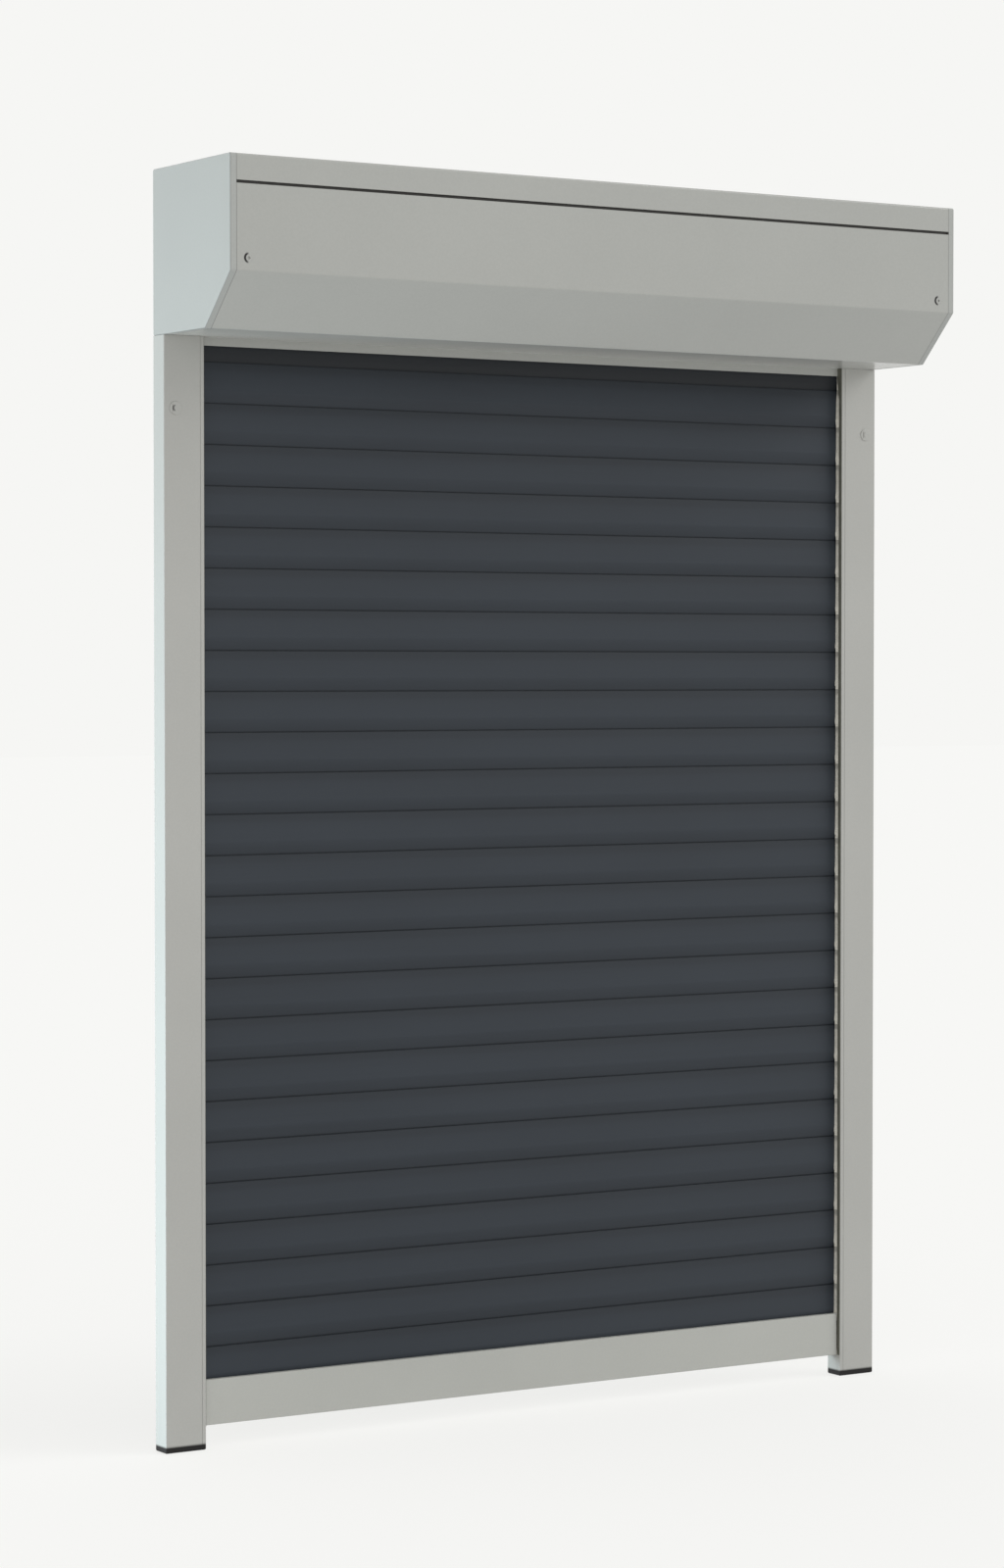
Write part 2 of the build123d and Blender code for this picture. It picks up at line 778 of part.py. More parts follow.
def motor_body():
    """The motor's round case inside the tube, with a socket for the drive shaft."""
    end_x = motor_head_x()
    body = rod_x(motor_radius, end_x - motor_length, motor_length)
    socket = rod_x(drive_shaft_radius + running_gap, end_x - motor_length, motor_socket_depth)
    return body - socket


def motor_head():
    """The head between the motor's case and its bracket, with two flats."""
    start = motor_head_x()
    length = half_width - cap_plate - bracket_plate - motor_end_gap - start
    head = rod_x(motor_head_radius, start, length)
    flats = block(
        (start, -motor_head_radius, axis_z - motor_head_flat),
        (start + length, motor_head_radius, axis_z + motor_head_flat),
    )
    return head & flats


def motor_bracket():
    """The bracket on the right end cap: a disc with two drilled ears."""
    plate_x = half_width - cap_plate - bracket_plate
    plate = rod_x(bracket_radius, plate_x, bracket_plate)
    plate += block(
        (plate_x, -bracket_lug_width / 2, axis_z - bracket_lug_length / 2),
        (plate_x + bracket_plate, bracket_lug_width / 2, axis_z + bracket_lug_length / 2),
    )
    for offset_z in (-bracket_hole_spacing / 2, bracket_hole_spacing / 2):
        plate -= rod_x(bracket_hole_radius, plate_x, bracket_plate, z=axis_z + offset_z)
    return plate


def motor_crown():
    """The ring that lets the tube's right end turn on the motor's case."""
    start = tube_right_x - crown_length
    crown = along_x(octagon(tube_insert_flats()), start, crown_length + crown_flange)
    crown += rod_x(crown_flange_radius, tube_right_x + running_gap, crown_flange - running_gap)
    return crown - rod_x(motor_radius + running_gap, start, crown_length + crown_flange)


def drive_adapter():
    """The octagonal driver on the motor's output shaft, with lightening pockets."""
    motor_end = motor_head_x() - motor_length
    start = motor_end - motor_end_gap - drive_length
    driver = along_x(octagon(tube_insert_flats()), start, drive_length)
    for index in range(drive_pocket_count):
        angle = math.tau * (index + 1 / 2) / drive_pocket_count
        driver -= rod_x(
            drive_pocket_radius,
            start,
            drive_pocket_depth,
            y=drive_pocket_ring * math.cos(angle),
            z=axis_z + drive_pocket_ring * math.sin(angle),
        )
    return driver + rod_x(drive_shaft_radius, motor_end - motor_end_gap, motor_socket_depth)


def hanger_x(index):
    return (index - (hanger_count - 1) / 2) * hanger_spacing


def hanger_ring(index):
    """A plastic ring round the tube that a hanger strap is hooked to."""
    start = hanger_x(index) - hanger_ring_width / 2
    hole = along_x(octagon(tube_across_flats + hanger_ring_gap * 2), start, hanger_ring_width)
    return rod_x(ring_radius, start, hanger_ring_width) - hole


def strap_section():
    """A strap from over its ring straight down to the tab behind the top slat's hook."""
    radius = ring_radius + strap_gap + strap_thickness / 2
    joint_z = slat_base_z(slat_count)
    tab_y = slat_front_y + slat_hook_setback - strap_gap - strap_thickness / 2
    tab_low = joint_z - slat_top_below_pitch + strap_gap
    tab_high = tab_low + strap_tab_height
    reach = math.hypot(tab_y, tab_high - axis_z)
    leave = math.atan2(tab_high - axis_z, tab_y) + math.acos(radius / reach)
    leave_point = (radius * math.cos(leave), axis_z + radius * math.sin(leave))
    wrap = Pos(0, axis_z) * CenterArc((0, 0), radius, math.degrees(leave), strap_wrap_angle)
    run = Polyline((tab_y, tab_low), (tab_y, tab_high), leave_point)
    return trace([run] + list(wrap.edges()), strap_thickness)


def hanger_strap(index):
    return along_x(strap_section(), hanger_x(index) - strap_width / 2, strap_width)


os.makedirs("parts", exist_ok=True)

keep(top_back_shell(), "top_back_shell")
keep(front_cover(), "front_cover")
keep(slot_profile(), "slot_profile")
for side_name, side_sign in SIDES.items():
    keep(end_cap(side_sign), f"end_cap_{side_name}")
    keep(guide_rail(side_sign), f"guide_{side_name}")
    keep(brush_seal(side_sign), f"brush_seal_{side_name}")
    keep(inlet(side_sign), f"inlet_{side_name}")
    keep(foot_cap(side_sign), f"foot_cap_{side_name}")
    keep(bar_end(side_sign), f"bar_end_{side_name}")
keep(Compound(children=[rear_seal(s).solid() for s in SIDES.values()]), "rear_seals")
keep(Compound(children=[guide_stop(s).solid() for s in SIDES.values()]), "guide_stops")
keep(Compound(children=[hole_plug(s).solid() for s in SIDES.values()]), "hole_plugs")
keep(Compound(children=[screw(*place).solid() for place in screw_places()]), "box_screws")
keep(winding_tube(), "winding_tube")
keep(motor_body(), "motor_body")
keep(motor_head(), "motor_head")
keep(motor_bracket(), "motor_bracket")
keep(motor_crown(), "motor_crown")
keep(drive_adapter(), "drive_adapter")
keep(idler_plug(), "idler_plug")
keep(idler_pin(), "idler_pin")
keep(bearing_outer_ring(), "bearing_outer_ring")
keep(bearing_inner_ring(), "bearing_inner_ring")
keep(bearing_balls(), "bearing_balls")
keep(Compound(children=[hanger_ring(i).solid() for i in range(hanger_count)]), "hanger_rings")
keep(Compound(children=[hanger_strap(i).solid() for i in range(hanger_count)]), "hanger_straps")
keep(bottom_bar(), "bottom_bar")
clips = []
for slat_index in range(slat_count):
    level = slat_base_z(slat_index)
    slat = along_x(slat_section(level), -slat_half_length, slat_half_length * 2)
    keep(slat, f"slat_{slat_index + 1:02d}")
    if slat_index % clip_step == 0:
        clips += [slat_clip(s, level).solid() for s in SIDES.values()]
keep(Compound(children=clips), "slat_end_clips")
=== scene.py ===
import json
import math

import bmesh
import bpy
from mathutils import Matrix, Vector

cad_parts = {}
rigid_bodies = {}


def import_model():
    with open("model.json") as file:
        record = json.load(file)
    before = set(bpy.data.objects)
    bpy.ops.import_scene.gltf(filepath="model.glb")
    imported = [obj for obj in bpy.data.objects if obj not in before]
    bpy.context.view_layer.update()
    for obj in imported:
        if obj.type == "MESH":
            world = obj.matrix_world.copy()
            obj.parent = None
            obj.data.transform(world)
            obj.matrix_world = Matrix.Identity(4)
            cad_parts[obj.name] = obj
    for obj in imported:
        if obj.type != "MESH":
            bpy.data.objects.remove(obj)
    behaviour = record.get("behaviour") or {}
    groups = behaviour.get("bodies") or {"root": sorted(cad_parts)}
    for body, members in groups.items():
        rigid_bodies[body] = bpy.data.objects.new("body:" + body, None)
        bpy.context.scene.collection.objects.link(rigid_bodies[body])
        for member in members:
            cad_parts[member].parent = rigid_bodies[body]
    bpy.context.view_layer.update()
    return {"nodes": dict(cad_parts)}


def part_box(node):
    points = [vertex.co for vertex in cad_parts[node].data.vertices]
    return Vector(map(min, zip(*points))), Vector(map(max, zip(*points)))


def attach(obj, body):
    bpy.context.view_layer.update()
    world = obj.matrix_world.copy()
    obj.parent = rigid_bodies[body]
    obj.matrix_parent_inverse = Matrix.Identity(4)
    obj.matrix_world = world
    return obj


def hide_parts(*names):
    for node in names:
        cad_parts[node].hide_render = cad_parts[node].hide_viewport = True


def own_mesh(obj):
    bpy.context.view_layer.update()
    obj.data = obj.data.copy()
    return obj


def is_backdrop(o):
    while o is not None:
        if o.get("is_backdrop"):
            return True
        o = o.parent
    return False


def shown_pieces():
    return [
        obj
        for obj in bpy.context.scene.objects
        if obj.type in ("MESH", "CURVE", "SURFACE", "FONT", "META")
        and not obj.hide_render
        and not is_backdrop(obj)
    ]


# The dressing of an exterior roller shutter: finishes for its solids, soft seals, divided hanger
# straps and a plain studio. Lengths are metres. X runs along the winding tube, the front faces -Y
# and Z is up.

bl_info = {
    "name": "Roller Shutter Dressing",
    "version": (1, 0, 0),
    "blender": (4, 5, 0),
    "location": "View3D > Sidebar > Shutter",
    "description": "Finishes, seals and studio for an exterior roller shutter",
    "category": "Object",
}

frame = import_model()
HOUSING = "housing"
SIDES = {"left": -1, "right": 1}
ON_PLANE = 0.0001  # a vertex this close to a plane counts as lying on it
ON_LEVEL = 1e-6  # the same between the fine steps of the pile

# Places that no single solid's box gives
COVER_SCREW = (0.4195, 1.1733)  # distance from the middle, and height
CAP_EDGE = 0.0005  # from the end cap's outer face in to its rounded corner
GUIDE_GROOVE = 0.0045  # from the edge of the guide's lip out to the groove in its front
GUIDE_ROUNDING = 0.0006  # how far the guide's front edge is rounded
JOINT_TOP = 0.0256  # from the top of the shell down to the cover's joint
JOINT_REAR = 0.003  # from the front of the shell back to the rear of the joint's seal
STRAP_LEAVES = (0, 0.0358, 1.2069)  # where the hanger straps leave their rings
STRAP_RUNS = (0, 0.4058, -0.9140)  # their direction from there down to the top slat

# Patterns in the finishes
WHITE = (1.0, 1.0, 1.0, 1.0)
PAINT_CLOUDS, PAINT_SPECKS = 0.16, 0.0022
DIE_LINE_PITCH, DIE_LINE_DEPTH = 0.0011, 0.000008
# Colour of the painted shade in the seams: the shadow in the end caps' joints, along their rounded
# corners and in the guides' groove
SEAM_SHADE = (0.05, 0.05, 0.045, 1.0)
# Colour of the painted shadow at the left of a cover screw or a plug
HEAD_SHADOW = (0.012, 0.012, 0.011, 1.0)
# Colour of the painted shadow over the foot caps' joint
FOOT_SHADE = (0.02, 0.02, 0.018, 1.0)
# A crescent is a painted shadow at the left of a cover screw or a plug
HORN_POWER, CRESCENT_GAIN = 0.9, 2.4  # how a crescent thins out, and how hard its edge is
SCREW_MARK = (0.0042, 0.0016, 1.0)  # radius, width and depth of tone beside a cover screw
PLUG_MARK = (0.0026, 0.0012)  # radius and width beside a plug
PLUG_SHADOW = {-1: 0.7, 1: 0.25}  # depth of tone on each side
# Painted shade on a slat, and on the pile beside it, over one pitch from below
SLAT_PAINTED_SHADE = ((0.0, 0.77), (0.12, 0.84), (0.22, 0.88), (0.34, 1.0), (0.6, 0.95), (0.74, 0.89),
             (0.82, 0.76), (0.97, 0.69))
PILE_PAINTED_SHADE = ((0.0, 1.0), (0.2, 1.0), (0.42, 0.84), (0.82, 0.8), (0.9, 0.5))
# The slat in the box's mouth is painted darker, as painted shade
TOP_SLAT_SHADE = -0.6  # how much darker the slat in the box's mouth is

# Light
LAMP_SPREAD = 35  # degrees over which a studio lamp is spread, as a large soft box is
UNDER_SPREAD = 25
SIDE_LAMP_PLACE, SIDE_LAMP_SIZE = (-2.4, 0.42, 0.24), (0.6, 0.3)
SIDE_LAMP_COLOUR = (0.76, 0.915, 1.0)
FLOOR_DROP = 0.0002  # the floor lies this far under the feet
FLOOR_PAPER = (0.88, 0.88, 0.88, 1.0)  # what the floor throws up as light
FLOOR_SHADE = (0.228, 0.228, 0.2238, 1.0)  # the share of the seen floor that takes shadow
FLOOR_GLOW = 0.808  # and the share that doesn't


# Node trees

def tone(red, green, blue):
    """A linear colour from the three steps of an ordinary screen colour."""
    def linear(step):
        share = step / 255
        return share / 12.92 if share <= 0.04045 else ((share + 0.055) / 1.055) ** 2.4
    return (linear(red), linear(green), linear(blue), 1.0)


def lighter(colour, share):
    """The colour made lighter by this share, or darker by a negative one."""
    return tuple(min(1.0, part * (1 + share)) for part in colour[:3]) + (1.0,)


class Finish:
    """One finish: a Principled shader whose nodes read the piece's own object coordinates."""

    def __init__(self, name, roughness, metallic=0.0, specular=0.5):
        self.material = bpy.data.materials.new(name)
        self.material.use_nodes = True
        self.tree = self.material.node_tree
        self.tree.nodes.clear()
        self.shader = self.add("ShaderNodeBsdfPrincipled")
        self.shader.inputs["Roughness"].default_value = roughness
        self.shader.inputs["Metallic"].default_value = metallic
        self.shader.inputs["Specular IOR Level"].default_value = specular
        output = self.add("ShaderNodeOutputMaterial")
        self.join(self.shader.outputs["BSDF"], output.inputs["Surface"])
        self.place = self.add("ShaderNodeTexCoord").outputs["Object"]
        self.height = None

    def add(self, kind, **settings):
        node = self.tree.nodes.new(kind)
        for key, value in settings.items():
            setattr(node, key, value)
        return node

    def join(self, source, target):
        self.tree.links.new(source, target)

    def stretched(self, stretch):
        """Object coordinates, divided along each axis by how far the pattern runs along it."""
        mapping = self.add("ShaderNodeMapping")
        mapping.inputs["Scale"].default_value = [1 / part for part in stretch]
        self.join(self.place, mapping.inputs["Vector"])
        return mapping.outputs["Vector"]

    def grain(self, size, stretch=(1, 1, 1), detail=3.0, distortion=0.0):
        """Noise whose blobs are about this size, in metres."""
        noise = self.add("ShaderNodeTexNoise")
        noise.inputs["Scale"].default_value = 1 / size
        noise.inputs["Detail"].default_value = detail
        noise.inputs["Roughness"].default_value = 0.55
        noise.inputs["Distortion"].default_value = distortion
        self.join(self.stretched(stretch), noise.inputs["Vector"])
        return noise.outputs["Fac"]

    def cells(self, size):
        """Crystals about this size, in metres, each with its own colour."""
        voronoi = self.add("ShaderNodeTexVoronoi")
        voronoi.inputs["Scale"].default_value = 1 / size
        self.join(self.place, voronoi.inputs["Vector"])
        return voronoi.outputs["Color"]

    def along(self, axis):
        """The place along one axis."""
        split = self.add("ShaderNodeSeparateXYZ")
        self.join(self.place, split.inputs["Vector"])
        return split.outputs[axis]

    def line(self, place, centre, width):
        """1 at this place, falling to 0 at this distance from it."""
        node = self.add("ShaderNodeMapRange")
        node.inputs["From Max"].default_value = width
        node.inputs["To Min"].default_value = 1.0
        node.inputs["To Max"].default_value = 0.0
        away = self.calc(self.calc(place, "SUBTRACT", centre), "ABSOLUTE")
        self.join(away, node.inputs["Value"])
        return node.outputs["Result"]

    def crescent(self, centre_x, centre_z, radius, width):
        """1 on the left of a circle round an axis along Y, thinning out to its top and bottom: the
        mask of a painted shadow beside a round head.
        """
        ring = self.line(self.away(("X", centre_x), ("Z", centre_z)), radius, width)
        across = self.calc(self.along("X"), "SUBTRACT", centre_x)
        left = self.calc(self.calc(across, "DIVIDE", -radius), "MAXIMUM", 0.0)
        shape = self.calc(ring, "MULTIPLY", self.calc(left, "POWER", HORN_POWER))
        return self.calc(self.calc(shape, "MULTIPLY", CRESCENT_GAIN), "MINIMUM", 1.0)

    def rings(self, centre_y, centre_z, pitch):
        """Turning marks round an axis along X."""
        radius = self.away(("Y", centre_y), ("Z", centre_z))
        return self.calc(self.calc(radius, "MULTIPLY", math.tau / pitch), "SINE")

    def away(self, *centres):
        """The distance from an axis, given by its place on the two others."""
        squares = []
        for axis, centre in centres:
            offset = self.calc(self.along(axis), "SUBTRACT", centre)
            squares.append(self.calc(offset, "MULTIPLY", offset))
        first, second = squares
        return self.calc(self.calc(first, "ADD", second), "SQRT")

    def phase(self, first, pitch):
        """The share of the slat pitch that lies between a place and the joint below it."""
        rise = self.calc(self.calc(self.along("Z"), "SUBTRACT", first), "DIVIDE", pitch)
        return self.calc(rise, "FRACT")

    def calc(self, first, operation, second=None):
        """One sum; each of its two parts is a socket or a number."""
        node = self.add("ShaderNodeMath", operation=operation)
        for index, value in enumerate((first, second)):
            if isinstance(value, bpy.types.NodeSocket):
                self.join(value, node.inputs[index])
            elif value is not None:
                node.inputs[index].default_value = value
        return node.outputs["Value"]

    def ramp(self, source, stops):
        """Colours or grey levels laid over a value between 0 and 1."""
        node = self.add("ShaderNodeValToRGB")
        band = node.color_ramp
        while len(band.elements) < len(stops):
            band.elements.new(1.0)
        for element, (position, colour) in zip(band.elements, stops):
            element.position = position
            element.color = colour if isinstance(colour, tuple) else (colour, colour, colour, 1.0)
        self.join(source, node.inputs["Fac"])
        return node.outputs["Color"]

    def mix(self, share, first, second, blend="MIX"):
        """The second colour laid over the first; each part is a socket or a value."""
        node = self.add("ShaderNodeMix", data_type="RGBA", blend_type=blend)
        for socket, value in ((0, share), (6, first), (7, second)):
            if isinstance(value, bpy.types.NodeSocket):
                self.join(value, node.inputs[socket])
            else:
                node.inputs[socket].default_value = value
        return node.outputs[2]

    def colour(self, socket):
        self.join(socket, self.shader.inputs["Base Color"])

    def gloss(self, source, low, high):
        """Roughness that wanders between two levels."""
        node = self.add("ShaderNodeMapRange")
        node.inputs["To Min"].default_value = low
        node.inputs["To Max"].default_value = high
        self.join(source, node.inputs["Value"])
        self.join(node.outputs["Result"], self.shader.inputs["Roughness"])

    def relief(self, source, depth):
        """Fine relief of this depth, in metres, over any relief that is there already."""
        node = self.add("ShaderNodeBump")
        node.inputs["Strength"].default_value = 1.0
        node.inputs["Distance"].default_value = depth
        self.join(source, node.inputs["Height"])
        if self.height is not None:
            self.join(self.height, node.inputs["Normal"])
        self.height = node.outputs["Normal"]

    def done(self):
        if self.height is not None:
            self.join(self.height, self.shader.inputs["Normal"])
        return self.material


def sprayed_paint(name, colour, die_lines=None, peel=0.0009, depth=0.00002,
                  roughness=(0.42, 0.5), seams=(), crescents=(), footing=None):
    """Satin powder coating: orange peel, faint clouding, die lines, and painted shade in the
    seams.

    A seam is a plane on both sides of the middle: its distance, and the width and depth of its
    painted shade. A crescent lies beside a round head: the place along X and Z, the radius, the
    width and the depth of its painted shadow. A footing is a level joint: its height, and the
    width and depth of its painted shadow.
    """
    finish = Finish(name, roughness[0], specular=0.45)
    clouds = finish.grain(PAINT_CLOUDS, detail=4.0)
    fine = finish.grain(PAINT_SPECKS, detail=2.0)
    base = finish.ramp(clouds, [(0.3, lighter(colour, -0.025)), (0.7, lighter(colour, 0.02))])
    specks = finish.ramp(fine, [(0.35, 0.97), (0.65, 1.0)])
    mixed = finish.mix(1.0, base, specks, "MULTIPLY")
    if seams:
        sideways = finish.calc(finish.along("X"), "ABSOLUTE")
    # Each seam is a line of painted shade
    for distance, width, shade_depth in seams:
        share = finish.calc(finish.line(sideways, distance, width), "MULTIPLY", shade_depth)
        mixed = finish.mix(share, mixed, SEAM_SHADE)
    # Painted shadow at the left of each round head
    for *circle, shade_depth in crescents:
        share = finish.calc(finish.crescent(*circle), "MULTIPLY", shade_depth)
        mixed = finish.mix(share, mixed, HEAD_SHADOW)
    # The footing is a band of painted shadow
    if footing:
        height, width, shade_depth = footing
        share = finish.calc(finish.line(finish.along("Z"), height, width), "MULTIPLY", shade_depth)
        mixed = finish.mix(share, mixed, FOOT_SHADE)
    finish.colour(mixed)
    finish.gloss(fine, *roughness)
    finish.relief(finish.grain(peel, detail=1.0), depth)
    if die_lines:
        lines = finish.grain(DIE_LINE_PITCH, stretch=die_lines, detail=2.0)
        finish.relief(lines, DIE_LINE_DEPTH)
    return finish.done()


def slat_coating(name, colour, first, pitch):
    """Matt coil coating on rolled slats: long fine rolling lines, and painted shade that darkens
    each slat towards its folds.
    """
    finish = Finish(name, 0.5, specular=0.3)
    rolling = finish.grain(0.0012, stretch=(220, 1, 1), detail=3.0)
    clouds = finish.grain(0.09, stretch=(3, 1, 1), detail=4.0)
    base = finish.ramp(clouds, [(0.3, lighter(colour, -0.05)), (0.72, lighter(colour, 0.06))])
    streaks = finish.ramp(rolling, [(0.3, 0.93), (0.7, 1.0)])
    # Painted shade over each slat, lightest a third of the way up and darkest at the folds
    fold = finish.ramp(finish.phase(first, pitch), SLAT_PAINTED_SHADE)
    shaded_slat = finish.mix(1.0, base, fold, "MULTIPLY")
    finish.colour(finish.mix(1.0, shaded_slat, streaks, "MULTIPLY"))
    finish.gloss(rolling, 0.46, 0.58)
    finish.relief(finish.grain(0.0007, detail=1.0), 0.000012)
    finish.relief(rolling, 0.00001)
    return finish.done()


def moulded_plastic(name, colour, roughness, size=0.0008, specular=0.5):
    """Plastic with a spark-eroded mould texture."""
    finish = Finish(name, roughness, specular=specular)
    fine = finish.grain(size, detail=2.0)
    clouds = finish.grain(0.03, detail=3.0)
    base = finish.ramp(clouds, [(0.3, lighter(colour, -0.12)), (0.7, lighter(colour, 0.1))])
    finish.colour(base)
    finish.gloss(fine, roughness - 0.06, roughness + 0.1)
    finish.relief(fine, 0.00003)
    return finish.done()


def soft_rubber(name, colour):
    """Extruded rubber with fine lines along its length, and a little dust."""
    finish = Finish(name, 0.6, specular=0.35)
    lines = finish.grain(0.0006, stretch=(1, 1, 90), detail=2.0)
    dust = finish.grain(0.012, detail=5.0)
    finish.colour(finish.ramp(dust, [(0.35, colour), (0.8, lighter(colour, 0.5))]))
    finish.gloss(lines, 0.5, 0.72)
    finish.relief(lines, 0.00003)
    return finish.done()


def pile_fibre(name, light, shade, first, pitch):
    """Close silvered pile: fibres side by side, with painted shade over each slat pitch that
    leaves it lightest just above each joint.
    """
    finish = Finish(name, 0.7, specular=0.3)
    fibres = finish.grain(0.00035, stretch=(6, 6, 1), detail=3.0, distortion=0.4)
    tufts = finish.grain(0.0035, detail=3.0)
    base = finish.ramp(fibres, [(0.32, shade), (0.62, light)])
    clumps = finish.ramp(tufts, [(0.3, 0.86), (0.62, 1.0)])
    # Painted shade over each slat pitch, darkest just below the next joint up
    pile_shade = finish.ramp(finish.phase(first, pitch), PILE_PAINTED_SHADE)
    shaded_fibre = finish.mix(1.0, base, pile_shade, "MULTIPLY")
    finish.colour(finish.mix(1.0, shaded_fibre, clumps, "MULTIPLY"))
    finish.gloss(fibres, 0.6, 0.8)
    finish.relief(fibres, 0.00025)
    return finish.done()


def turned_steel(name, colour, roughness, pitch, axis):
    """Bright ground steel with fine marks of this pitch round an axis along X."""
    finish = Finish(name, roughness, metallic=1.0)
    wear = finish.grain(0.01, detail=4.0)
    finish.colour(finish.ramp(wear, [(0.3, lighter(colour, -0.18)), (0.7, lighter(colour, 0.08))]))
    lines = finish.rings(*axis, pitch)
    finish.gloss(wear, roughness - 0.05, roughness + 0.12)
    finish.relief(lines, 0.000006)
    return finish.done()


def spangled_zinc(name, colour):
    """Hot-dip galvanised steel with its frost-like spangle."""
    finish = Finish(name, 0.4, metallic=1.0)
    spangle = finish.cells(0.009)
    shades = [(0.1, lighter(colour, -0.22)), (0.9, lighter(colour, 0.12))]
    finish.colour(finish.ramp(spangle, shades))
    grey = finish.add("ShaderNodeSeparateColor")
    finish.join(spangle, grey.inputs["Color"])
    finish.gloss(grey.outputs["Green"], 0.3, 0.52)
    finish.relief(finish.grain(0.0015, detail=2.0), 0.000015)
    return finish.done()


def blued_spring(name, colour, temper):
    """Blued spring steel with heat shades, rolled along its length."""
    finish = Finish(name, 0.32, metallic=1.0)
    heat = finish.grain(0.02, stretch=(1, 1, 4), detail=3.0)
    lines = finish.grain(0.0004, stretch=(1, 40, 40), detail=2.0)
    finish.colour(finish.ramp(heat, [(0.3, colour), (0.7, temper)]))
    finish.gloss(lines, 0.24, 0.42)
    finish.relief(lines, 0.000008)
    return finish.done()


def give(material, *names):
    """Every material slot of these solids gets this finish."""
    for name in names:
        piece = frame["nodes"][name]
        if not piece.material_slots:
            piece.data.materials.append(material)
        for holder in piece.material_slots:
            holder.material = material


# Modelling

def select_only(piece=None):
    """Deselect everything, and select this piece where one is named."""
    for other in bpy.context.view_layer.objects:
        other.select_set(False)
    if piece is not None:
        piece.select_set(True)
        bpy.context.view_layer.objects.active = piece


def strip(name, low, high):
    """A long bar between two corners, ready to be shaped."""
    select_only()
    centre = [(a + b) / 2 for a, b in zip(low, high)]
    size = [b - a for a, b in zip(low, high)]
    bpy.ops.mesh.primitive_cube_add(size=1.0, location=centre, scale=size)
    piece = bpy.context.active_object
    piece.name = piece.data.name = name
    bpy.ops.object.transform_apply(location=True, rotation=True, scale=True)
    return piece


def pick(piece, kind, wanted):
    """In edit mode, select the faces, edges or vertices that a test takes."""
    bpy.ops.mesh.select_mode(type={"faces": "FACE", "edges": "EDGE", "verts": "VERT"}[kind])
    bpy.ops.mesh.select_all(action="DESELECT")
    mesh = bmesh.from_edit_mesh(piece.data)
    for element in getattr(mesh, kind):
        if wanted(element):
            element.select_set(True)
    mesh.select_flush_mode()
    bmesh.update_edit_mesh(piece.data)


def put(piece, material):
    """Finish a new piece: its material, its place at the origin, and the body it rides on."""
    select_only(piece)
    bpy.ops.object.transform_apply(location=True, rotation=True, scale=True)
    piece.data.materials.clear()
    piece.data.materials.append(material)
    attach(piece, HOUSING)
    return piece


def middle(edge):
    """The middle of an edge."""
    return (edge.verts[0].co + edge.verts[1].co) / 2


class Seals(bpy.types.PropertyGroup):
    """Sizes of the soft pieces in the guides and in the cover's joint."""

    gasket_thickness: bpy.props.FloatProperty(
        name="Gasket thickness", description="How far the guide's gasket stands off its lip",
        default=0.0002, unit="LENGTH", precision=4)
    gasket_bead: bpy.props.FloatProperty(
        name="Gasket bead", description="How far the bead stands off the gasket",
        default=0.0002, unit="LENGTH", precision=4)
    gasket_width: bpy.props.FloatProperty(
        name="Gasket width", description="Width of the guide's gasket, from front to back",
        default=0.0047, unit="LENGTH", precision=4)
    tongue_width: bpy.props.FloatProperty(
        name="Tongue width", description="How much wider the gasket is under the box",
        default=0.0036, unit="LENGTH", precision=4)
    tongue_length: bpy.props.FloatProperty(
        name="Tongue length", description="Height over which the gasket widens towards the box",
        default=0.026, unit="LENGTH", precision=4)
    pile_lean: bpy.props.FloatProperty(
        name="Pile lean", description="How far the pile leans inwards over the slats",
        default=0.0010, unit="LENGTH", precision=4)
    pile_bulge: bpy.props.FloatProperty(
        name="Pile bulge", description="How far the pile swells at each slat joint",
        default=0.0006, unit="LENGTH", precision=4)
    pile_roughness: bpy.props.FloatProperty(
        name="Pile unevenness", description="How far single tufts stray",
        default=0.00008, unit="LENGTH", precision=5)
    joint_bead: bpy.props.FloatProperty(
        name="Joint bead", description="How far the cover's joint seal is rounded forwards",
        default=0.0006, unit="LENGTH", precision=4)


class Paints(bpy.types.PropertyGroup):
    """Colours of the painted and moulded finishes."""

    box: bpy.props.FloatVectorProperty(
        name="Box", description="Paint of the box sheets", subtype="COLOR", size=4,
        default=tone(172, 173, 168), min=0, max=1)
    # The end caps' paint is darker than the box's, as painted shade against the lamps' light on
    # their sides
    caps: bpy.props.FloatVectorProperty(
        name="End caps", description="Paint of the cast end caps", subtype="COLOR", size=4,
        default=tone(168, 170, 166), min=0, max=1)
    guides: bpy.props.FloatVectorProperty(
        name="Guides", description="Paint of the guide rails", subtype="COLOR", size=4,
        default=tone(176, 176, 171), min=0, max=1)
    # The bottom bar's paint is lighter than the box's, as painted light against the shade near the
    # floor
    bar: bpy.props.FloatVectorProperty(
        name="Bottom bar", description="Paint of the bottom bar", subtype="COLOR", size=4,
        default=tone(180, 181, 175), min=0, max=1)
    slats: bpy.props.FloatVectorProperty(
        name="Slats", description="Coating of the slats", subtype="COLOR", size=4,
        default=tone(47, 53, 60), min=0, max=1)


